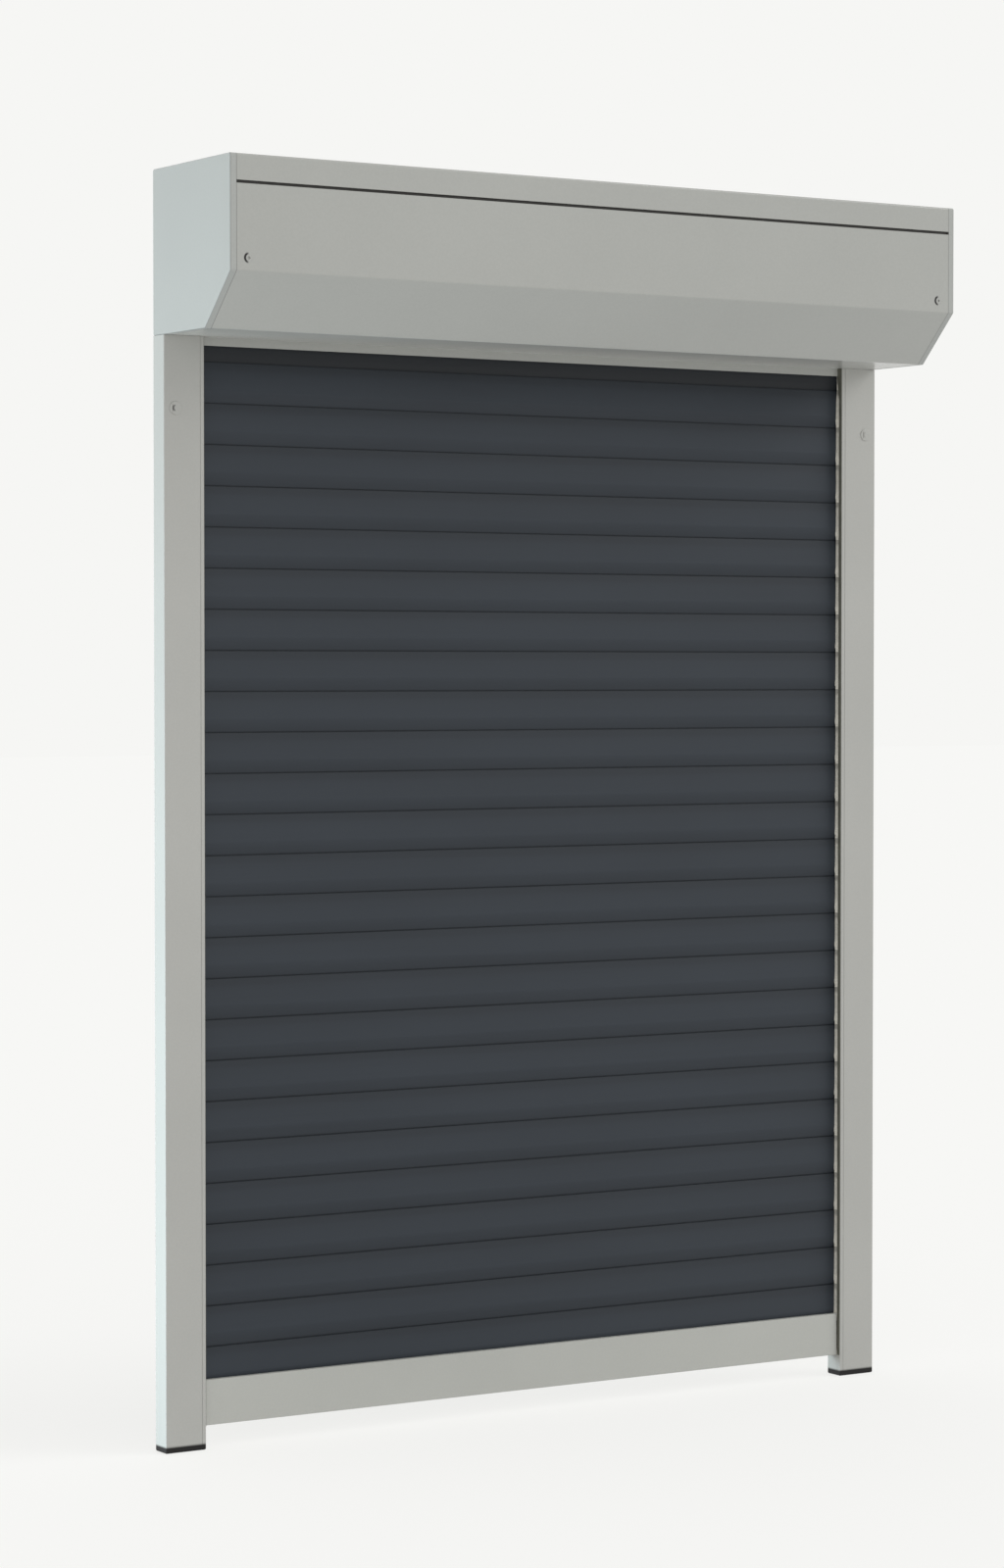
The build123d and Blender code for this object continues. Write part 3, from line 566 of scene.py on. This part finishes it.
class Studio(bpy.types.PropertyGroup):
    """Light, floor and camera."""

    sky_strength: bpy.props.FloatProperty(
        name="Sky", description="Even light from all round", default=0.65)
    key: bpy.props.FloatProperty(
        name="Key", description="Soft high light from the right", default=1.0)
    front: bpy.props.FloatProperty(
        name="Front", description="Soft level light from the left front", default=0.24)
    low: bpy.props.FloatProperty(
        name="Low", description="Soft light from the front, thrown up by the floor", default=0.27)
    under: bpy.props.FloatProperty(
        name="Under", description="Soft light from below on the underside of the box",
        default=0.85)
    rear: bpy.props.FloatProperty(
        name="Rear", description="Soft light on the back", default=0.6)
    side_power: bpy.props.FloatProperty(
        name="Side", description="Power of the cool low lamp at the left",
        default=18.5, unit="POWER")
    backdrop: bpy.props.FloatVectorProperty(
        name="Backdrop", description="Colour of the background", subtype="COLOR", size=4,
        default=tone(246, 246, 244), min=0, max=1)
    floor_size: bpy.props.FloatProperty(
        name="Floor", description="Side of the floor", default=60.0, unit="LENGTH")
    lens: bpy.props.FloatProperty(
        name="Lens", description="Focal length over a 36 mm long side",
        default=92.76, unit="CAMERA")
    turn: bpy.props.FloatProperty(
        name="Camera turn", description="The camera's heading to the right of the wall's normal",
        default=math.radians(32.313), unit="ROTATION")
    tilt: bpy.props.FloatProperty(
        name="Camera tilt", description="How far the camera looks down",
        default=math.radians(1.589), unit="ROTATION")
    station: bpy.props.FloatVectorProperty(
        name="Camera place", description="Where the camera stands", subtype="TRANSLATION", size=3,
        default=(-2.2916, -3.4933, 0.77645))


class SHUTTER_OT_box(bpy.types.Operator):
    """Paint the box: shell, cover, slot profile and end caps"""
    bl_idname = "shutter.box"
    bl_label = "Box"

    def execute(self, context):
        paints = context.scene.shutter_paints
        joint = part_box("top_back_shell")[1].x
        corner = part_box("end_cap_right")[1].x - CAP_EDGE
        away, height = COVER_SCREW
        # Painted shadows at the left of the front screws
        heads = [(side * away, height, *SCREW_MARK) for side in SIDES.values()]
        # A line of painted shadow in the joint between the sheets and each end cap
        seams = [(joint, 0.0007, 0.6)]
        satin = (0.22, 0.28)
        sheet = sprayed_paint("sheet_paint", tuple(paints.box), roughness=satin, seams=seams)
        give(sheet, "top_back_shell", "slot_profile")
        cover = sprayed_paint("cover_paint", tuple(paints.box), roughness=satin, seams=seams,
                              crescents=heads)
        give(cover, "front_cover")
        # The caps get the same painted shadow at the joint, and painted shade along their rounded
        # outer corner
        cast = sprayed_paint("cast_cap_paint", tuple(paints.caps), peel=0.0015, depth=0.00004,
                             seams=[(joint, 0.0005, 0.6), (corner, 0.00045, 0.55)])
        give(cast, "end_cap_left", "end_cap_right")
        return {"FINISHED"}


class SHUTTER_OT_guides(bpy.types.Operator):
    """Finish the guide rails, their plugs, feet, stops and mouths"""
    bl_idname = "shutter.guides"
    bl_label = "Guides"

    def execute(self, context):
        paints = context.scene.shutter_paints
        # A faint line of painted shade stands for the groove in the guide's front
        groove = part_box("guide_right")[0].x + GUIDE_GROOVE
        # A band of painted shadow over the joint with each foot cap
        footing = (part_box("guide_right")[0].z, 0.0020, 1.0)
        upright = sprayed_paint("guide_paint", tuple(paints.guides), die_lines=(1, 1, 300),
                                seams=[(groove, 0.0006, 0.12)], footing=footing)
        give(upright, "guide_left", "guide_right", "guide_stops")
        low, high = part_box("hole_plugs")
        height, radius = (low.z + high.z) / 2, (high.z - low.z) / 2
        # Painted shadows at the left of the plugs
        marks = [(side * (high.x - radius), height, *PLUG_MARK, PLUG_SHADOW[side])
                 for side in SIDES.values()]
        give(sprayed_paint("plug_paint", tuple(paints.guides), crescents=marks), "hole_plugs")
        foot = moulded_plastic("foot_plastic", tone(22, 20, 20), 0.5, specular=0.25)
        give(foot, "foot_cap_left", "foot_cap_right")
        give(moulded_plastic("mouth_plastic", tone(40, 40, 42), 0.5), "inlet_left", "inlet_right")
        give(soft_rubber("rear_strip_rubber", tone(48, 48, 47)), "rear_seals")
        return {"FINISHED"}


class SHUTTER_OT_curtain(bpy.types.Operator):
    """Finish the slats, their clips and the bottom bar"""
    bl_idname = "shutter.curtain"
    bl_label = "Curtain"

    def execute(self, context):
        paints = context.scene.shutter_paints
        slats = sorted(name for name in frame["nodes"]
                       if name.startswith("slat_") and name[5:].isdigit())
        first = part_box(slats[0])[0].z
        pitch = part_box(slats[1])[0].z - first
        give(slat_coating("slat_coating", tuple(paints.slats), first, pitch), *slats[:-1])
        # A darker copy of the coating on the slat in the box's mouth, as painted shade
        shaded_top = lighter(tuple(paints.slats), TOP_SLAT_SHADE)
        give(slat_coating("top_slat_coating", shaded_top, first, pitch), slats[-1])
        level = sprayed_paint("bar_paint", tuple(paints.bar), die_lines=(300, 1, 1))
        give(level, "bottom_bar")
        clip = moulded_plastic("clip_plastic", tone(38, 38, 39), 0.5)
        give(clip, "slat_end_clips", "bar_end_left", "bar_end_right")
        return {"FINISHED"}


class SHUTTER_OT_drive(bpy.types.Operator):
    """Finish the winding tube, motor, bearing, hangers and screws"""
    bl_idname = "shutter.drive"
    bl_label = "Drive"

    def execute(self, context):
        low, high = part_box("winding_tube")
        axis = ((low.y + high.y) / 2, (low.z + high.z) / 2)
        give(spangled_zinc("tube_zinc", (0.6, 0.61, 0.62, 1.0)), "winding_tube", "motor_bracket")
        enamel = sprayed_paint("motor_enamel", tone(226, 226, 222), roughness=(0.3, 0.4))
        give(enamel, "motor_body")
        drive = moulded_plastic("drive_plastic", tone(58, 59, 62), 0.45, size=0.0012)
        give(drive, "motor_head", "motor_crown", "drive_adapter", "idler_plug", "hanger_rings")
        ground = turned_steel("ground_steel", (0.7, 0.7, 0.71, 1.0), 0.2, 0.0002, axis)
        give(ground, "bearing_outer_ring", "bearing_inner_ring", "bearing_balls", "idler_pin")
        paint = tuple(context.scene.shutter_paints.box)
        painted = sprayed_paint("screw_paint", paint, roughness=(0.3, 0.4))
        give(painted, "box_screws")
        return {"FINISHED"}


class SHUTTER_OT_straps(bpy.types.Operator):
    """Divide the hanger straps into loops on their rings and tails running down to the top slat"""
    bl_idname = "shutter.straps"
    bl_label = "Hanger straps"

    def execute(self, context):
        spring = blued_spring("blued_spring", (0.2, 0.22, 0.26, 1.0), (0.32, 0.3, 0.3, 1.0))
        leave, run = Vector(STRAP_LEAVES), Vector(STRAP_RUNS)
        whole = frame["nodes"]["hanger_straps"].data
        for name, part in (("strap_loops", "clear_outer"), ("strap_tails", "clear_inner")):
            piece = bpy.data.objects.new(name, whole.copy())
            piece.data.name = name
            context.scene.collection.objects.link(piece)
            select_only(piece)
            bpy.ops.object.mode_set(mode="EDIT")
            bpy.ops.mesh.select_all(action="SELECT")
            bpy.ops.mesh.remove_doubles(threshold=0.00001)
            bpy.ops.mesh.bisect(plane_co=leave, plane_no=run, use_fill=True, **{part: True})
            bpy.ops.mesh.select_all(action="SELECT")
            bpy.ops.mesh.normals_make_consistent(inside=False)
            bpy.ops.object.mode_set(mode="OBJECT")
            put(piece, spring)
            bpy.ops.object.shade_smooth_by_angle(angle=math.radians(30))
            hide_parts("hanger_straps")
        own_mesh(piece)
        return {"FINISHED"}


class SHUTTER_OT_gaskets(bpy.types.Operator):
    """Lay a dark gasket with a bead on the edge of each guide's front lip, wider under the box;
    its dark strip is partly painted shade on the lip's edge
    """
    bl_idname = "shutter.gaskets"
    bl_label = "Lip gaskets"

    def execute(self, context):
        sizes = context.scene.shutter_seals
        # Dark rubber, partly a gasket and partly painted shade on the lip's edge and in the slot's
        # mouth
        rubber = soft_rubber("gasket_rubber", tone(98, 98, 88))
        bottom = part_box("guide_stops")[1].z
        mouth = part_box("slot_profile")[0].z
        for side_name, side in SIDES.items():
            low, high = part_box(f"guide_{side_name}")
            edge = low.x if side > 0 else high.x
            inner = edge - side * sizes.gasket_thickness
            front = low.y + GUIDE_ROUNDING
            corners = [
                (min(edge, inner), front, bottom),
                (max(edge, inner), front + sizes.gasket_width, high.z),
            ]
            piece = strip(f"lip_gasket_{side_name}", *corners)
            bpy.ops.object.mode_set(mode="EDIT")
            for level in (mouth - sizes.tongue_length, mouth):
                bpy.ops.mesh.select_all(action="SELECT")
                bpy.ops.mesh.bisect(plane_co=(0, 0, level), plane_no=(0, 0, 1))
            rear = corners[1][1]
            pick(piece, "verts",
                 lambda v: v.co.z > mouth - ON_PLANE and abs(v.co.y - rear) < ON_PLANE)
            bpy.ops.transform.translate(value=(0, sizes.tongue_width, 0))
            pick(piece, "faces", lambda f: f.normal.x * side < -0.9)
            bpy.ops.mesh.inset(thickness=sizes.gasket_width / 4)
            bpy.ops.transform.translate(value=(-side * sizes.gasket_bead, 0, 0))
            bpy.ops.mesh.bevel(offset=sizes.gasket_bead, segments=3, affect="EDGES")
            bpy.ops.mesh.select_all(action="SELECT")
            bpy.ops.mesh.normals_make_consistent(inside=False)
            bpy.ops.object.mode_set(mode="OBJECT")
            put(piece, rubber)
            bpy.ops.object.shade_smooth_by_angle(angle=math.radians(40))
        return {"FINISHED"}


class SHUTTER_OT_joint_seal(bpy.types.Operator):
    """Lay the dark seal in the joint between the upper strip and the front cover"""
    bl_idname = "shutter.joint_seal"
    bl_label = "Joint seal"

    def execute(self, context):
        sizes = context.scene.shutter_seals
        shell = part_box("top_back_shell")
        half = shell[1].x - 0.0002
        top = shell[1].z - JOINT_TOP
        rear = shell[0].y + JOINT_REAR
        front = rear - 0.0012
        piece = strip("joint_seal", (-half, front, top - 0.0029), (half, rear, top - 0.0001))
        bpy.ops.object.mode_set(mode="EDIT")
        pick(piece, "edges",
             lambda e: abs(middle(e).y - front) < ON_PLANE and abs(middle(e).x) < ON_PLANE)
        bpy.ops.mesh.bevel(offset=sizes.joint_bead, segments=4, affect="EDGES")
        bpy.ops.mesh.select_all(action="SELECT")
        bpy.ops.mesh.normals_make_consistent(inside=False)
        bpy.ops.object.mode_set(mode="OBJECT")
        put(piece, soft_rubber("joint_rubber", tone(44, 42, 40)))
        bpy.ops.object.shade_smooth_by_angle(angle=math.radians(40))
        return {"FINISHED"}


class SHUTTER_OT_pile_seals(bpy.types.Operator):
    """Model the pile seals: tufts that swell a little at each slat joint"""
    bl_idname = "shutter.pile_seals"
    bl_label = "Pile seals"

    # Each step up one pitch: its share of the pitch, and how far the pile swells there
    STEPS = ((0.06, 0.0), (0.05, 1.0), (0.07, 1.0), (0.08, 0.35), (0.18, 0.1), (0.28, 0.0),
             (0.28, 0.0))
    REACH = 0.003  # the inner face strays less than this from its plane

    def execute(self, context):
        sizes = context.scene.shutter_seals
        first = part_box("slat_01")[0].z
        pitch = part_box("slat_02")[0].z - first
        fibre = pile_fibre("pile_fibre", tone(250, 246, 234), tone(222, 218, 204), first, pitch)
        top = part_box("slot_profile")[0].z
        for side_name, side in SIDES.items():
            low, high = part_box(f"brush_seal_{side_name}")
            name = f"pile_seal_{side_name}"
            piece = self.segment(name, side, low, high, first - pitch, pitch, sizes)
            count = math.ceil((high.z - first) / pitch) + 1
            array = piece.modifiers.new("pitch", "ARRAY")
            array.count = count
            array.use_relative_offset = False
            array.use_constant_offset = True
            array.constant_offset_displace = (0, 0, pitch)
            array.use_merge_vertices = True
            array.merge_threshold = 0.00002
            bpy.ops.object.modifier_apply(modifier=array.name)
            bpy.ops.object.mode_set(mode="EDIT")
            for level, normal in ((low.z, (0, 0, -1)), (top, (0, 0, 1))):
                bpy.ops.mesh.select_all(action="SELECT")
                bpy.ops.mesh.bisect(plane_co=(0, 0, level), plane_no=normal, use_fill=True,
                                    clear_outer=True)
            # The cuts leave their points in no set order, and the stray of the tufts follows it
            bpy.ops.mesh.select_all(action="SELECT")
            bpy.ops.mesh.sort_elements(type="CURSOR_DISTANCE", elements={"VERT", "EDGE", "FACE"})
            inner = low.x if side > 0 else high.x
            near_top = top - sizes.tongue_length
            pick(piece, "verts",
                 lambda v: abs(v.co.x - inner) < self.REACH and v.co.z > near_top)
            bpy.ops.transform.resize(value=(0, 1, 1), center_override=(inner, 0, top))
            pick(piece, "verts", lambda v: abs(v.co.x - inner) < self.REACH)
            bpy.ops.transform.vertex_random(offset=sizes.pile_roughness, seed=3, uniform=1.0)
            bpy.ops.mesh.select_all(action="SELECT")
            bpy.ops.mesh.normals_make_consistent(inside=False)
            bpy.ops.object.mode_set(mode="OBJECT")
            put(piece, fibre)
            bpy.ops.object.shade_smooth_by_angle(angle=math.radians(50))
            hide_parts(f"brush_seal_{side_name}")
        return {"FINISHED"}

    def segment(self, name, side, low, high, start, pitch, sizes):
        """One slat pitch of the pile, drawn up from its section step by step."""
        select_only()
        half_way = (low.y + high.y) / 2
        centre = ((low.x + high.x) / 2, half_way, start)
        bpy.ops.mesh.primitive_plane_add(size=1.0, location=centre)
        piece = bpy.context.active_object
        piece.name = piece.data.name = name
        piece.scale = (high.x - low.x, high.y - low.y, 1)
        bpy.ops.object.transform_apply(location=True, rotation=True, scale=True)
        inner = low.x if side > 0 else high.x
        bpy.ops.object.mode_set(mode="EDIT")
        pick(piece, "edges", lambda e: abs(middle(e).x - inner) > 0.001)
        bpy.ops.mesh.subdivide(number_cuts=1)
        pick(piece, "verts",
             lambda v: abs(v.co.x - inner) < 0.001 and v.co.y > half_way - ON_PLANE)
        bpy.ops.transform.translate(value=(-side * sizes.pile_lean, 0, 0))
        level, swell = start, 0.0
        for share, wanted in self.STEPS:
            pick(piece, "faces", lambda f: abs(f.calc_center_median().z - level) < ON_LEVEL)
            rise = share * pitch
            bpy.ops.mesh.extrude_region_move(TRANSFORM_OT_translate={"value": (0, 0, rise)})
            level += rise
            pick(piece, "verts",
                 lambda v: abs(v.co.z - level) < ON_LEVEL and abs(v.co.x - inner) < self.REACH)
            bpy.ops.transform.translate(value=(-side * (wanted - swell) * sizes.pile_bulge, 0, 0))
            swell = wanted
        pick(piece, "faces", lambda f: abs(f.normal.z) > 0.9 and any(
            abs(f.calc_center_median().z - end) < ON_LEVEL for end in (start, level)))
        bpy.ops.mesh.delete(type="ONLY_FACE")
        bpy.ops.object.mode_set(mode="OBJECT")
        return piece


class SHUTTER_OT_stage(bpy.types.Operator):
    """Set up the pale floor, the soft lamps, the background and the camera"""
    bl_idname = "shutter.stage"
    bl_label = "Stage"

    def execute(self, context):
        studio = context.scene.shutter_studio
        self.floor(studio)
        self.sky(context, studio)
        pieces = bpy.data.collections.new("shutter_pieces")
        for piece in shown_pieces():
            pieces.objects.link(piece)
        for name, heading, height, strength in (
            ("key_light", -60, 30, studio.key),
            ("front_light", 20, 5, studio.front),
            ("low_light", 0, -15, studio.low),
            ("rear_light", 180, 15, studio.rear),
        ):
            light = self.light(name, "SUN", strength, WHITE[:3])
            light.data.angle = math.radians(LAMP_SPREAD)
            self.aim(light, heading, height)
            light.light_linking.blocker_collection = pieces
            if name == "rear_light":
                light.light_linking.receiver_collection = pieces
        cover = bpy.data.collections.new("shutter_cover")
        cover.objects.link(frame["nodes"]["front_cover"])
        underside = bpy.data.collections.new("shutter_underside")
        for name in ("front_cover", "slot_profile"):
            underside.objects.link(frame["nodes"][name])
        under = self.light("under_light", "SUN", studio.under, WHITE[:3])
        under.data.angle = math.radians(UNDER_SPREAD)
        self.aim(under, 180, -38)
        under.light_linking.receiver_collection = underside
        under.light_linking.blocker_collection = cover
        side = self.light("side_lamp", "AREA", studio.side_power, SIDE_LAMP_COLOUR)
        side.data.shape = "RECTANGLE"
        side.data.size, side.data.size_y = SIDE_LAMP_SIZE
        side.data.spread = math.radians(110)
        side.location = SIDE_LAMP_PLACE
        self.aim(side, 99, 0)
        side.light_linking.receiver_collection = pieces
        self.camera(context, studio)
        context.scene.view_settings.view_transform = "Standard"
        return {"FINISHED"}

    def seen(self, tree):
        """1 for what the camera sees, also in metal and through glass."""
        path = tree.nodes.new("ShaderNodeLightPath")
        total = path.outputs["Is Camera Ray"]
        for name in ("Is Glossy Ray", "Is Transmission Ray"):
            node = tree.nodes.new("ShaderNodeMath")
            node.operation = "MAXIMUM"
            tree.links.new(total, node.inputs[0])
            tree.links.new(path.outputs[name], node.inputs[1])
            total = node.outputs["Value"]
        return total

    def floor(self, studio):
        """A pale floor: paper to the light, seen as the backdrop's colour with a shadow."""
        select_only()
        bpy.ops.mesh.primitive_plane_add(size=studio.floor_size, location=(0, 0, -FLOOR_DROP))
        floor = bpy.context.active_object
        floor.name = "floor"
        material = bpy.data.materials.new("floor_paper")
        material.use_nodes = True
        tree = material.node_tree
        tree.nodes.clear()
        output = tree.nodes.new("ShaderNodeOutputMaterial")
        paper = tree.nodes.new("ShaderNodeBsdfDiffuse")
        paper.inputs["Color"].default_value = FLOOR_PAPER
        bright = tree.nodes.new("ShaderNodeEmission")
        bright.inputs["Color"].default_value = studio.backdrop
        bright.inputs["Strength"].default_value = FLOOR_GLOW
        pale = tree.nodes.new("ShaderNodeBsdfDiffuse")
        pale.inputs["Color"].default_value = FLOOR_SHADE
        shown = tree.nodes.new("ShaderNodeAddShader")
        tree.links.new(bright.outputs["Emission"], shown.inputs[0])
        tree.links.new(pale.outputs["BSDF"], shown.inputs[1])
        choice = tree.nodes.new("ShaderNodeMixShader")
        tree.links.new(self.seen(tree), choice.inputs["Fac"])
        tree.links.new(paper.outputs["BSDF"], choice.inputs[1])
        tree.links.new(shown.outputs["Shader"], choice.inputs[2])
        tree.links.new(choice.outputs["Shader"], output.inputs["Surface"])
        floor.data.materials.append(material)
        floor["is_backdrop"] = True

    def sky(self, context, studio):
        """Even white light from all round, seen as the backdrop's colour."""
        world = bpy.data.worlds.new("studio")
        context.scene.world = world
        world.use_nodes = True
        tree = world.node_tree
        tree.nodes.clear()
        output = tree.nodes.new("ShaderNodeOutputWorld")
        light = tree.nodes.new("ShaderNodeBackground")
        light.inputs["Color"].default_value = WHITE
        light.inputs["Strength"].default_value = studio.sky_strength
        shown = tree.nodes.new("ShaderNodeBackground")
        shown.inputs["Color"].default_value = studio.backdrop
        shown.inputs["Strength"].default_value = 1.0
        choice = tree.nodes.new("ShaderNodeMixShader")
        tree.links.new(self.seen(tree), choice.inputs["Fac"])
        tree.links.new(light.outputs["Background"], choice.inputs[1])
        tree.links.new(shown.outputs["Background"], choice.inputs[2])
        tree.links.new(choice.outputs["Shader"], output.inputs["Surface"])

    def light(self, name, kind, strength, colour):
        """A lamp that the camera doesn't see."""
        data = bpy.data.lights.new(name, kind)
        data.energy = strength
        data.color = colour
        light = bpy.data.objects.new(name, data)
        bpy.context.scene.collection.objects.link(light)
        light.visible_camera = False
        return light

    def aim(self, light, heading, height):
        """The light's heading, from the front towards the left, and its height, in degrees."""
        self.point(light, math.radians(heading), math.radians(height))

    def point(self, thing, turn, fall):
        """Turn a lamp or the camera to look along a heading, and down by an angle."""
        level = math.cos(fall)
        ahead = Vector((math.sin(turn) * level, math.cos(turn) * level, -math.sin(fall)))
        thing.rotation_euler = ahead.to_track_quat("-Z", "Y").to_euler()

    def camera(self, context, studio):
        """The camera at the photograph's place and angle."""
        data = bpy.data.cameras.new("camera")
        data.lens = studio.lens
        data.clip_start, data.clip_end = 0.1, 100.0
        camera = bpy.data.objects.new("camera", data)
        context.scene.collection.objects.link(camera)
        camera.location = studio.station
        self.point(camera, studio.turn, studio.tilt)
        context.scene.camera = camera


class SHUTTER_PT_panel(bpy.types.Panel):
    """Lists the shutter's operators"""
    bl_idname = "SHUTTER_PT_panel"
    bl_label = "Roller Shutter"
    bl_space_type = "VIEW_3D"
    bl_region_type = "UI"
    bl_category = "Shutter"

    def draw(self, context):
        for operator in OPERATORS:
            self.layout.operator(operator.bl_idname)


GROUPS = {"shutter_seals": Seals, "shutter_paints": Paints, "shutter_studio": Studio}
OPERATORS = (
    SHUTTER_OT_box,
    SHUTTER_OT_guides,
    SHUTTER_OT_curtain,
    SHUTTER_OT_drive,
    SHUTTER_OT_straps,
    SHUTTER_OT_gaskets,
    SHUTTER_OT_joint_seal,
    SHUTTER_OT_pile_seals,
    SHUTTER_OT_stage,
)


def register():
    """Register the classes, and hang their groups on the scene."""
    for group in (*GROUPS.values(), *OPERATORS, SHUTTER_PT_panel):
        bpy.utils.register_class(group)
    for name, group in GROUPS.items():
        setattr(bpy.types.Scene, name, bpy.props.PointerProperty(type=group))


def unregister():
    """Undo what register did."""
    for name in GROUPS:
        delattr(bpy.types.Scene, name)
    for group in (SHUTTER_PT_panel, *reversed(OPERATORS), *reversed(GROUPS.values())):
        bpy.utils.unregister_class(group)


def main():
    """Dress the shutter, piece by piece."""
    register()
    for operator in OPERATORS:
        family, name = operator.bl_idname.split(".")
        getattr(getattr(bpy.ops, family), name)()


if __name__ == "__main__":
    main()
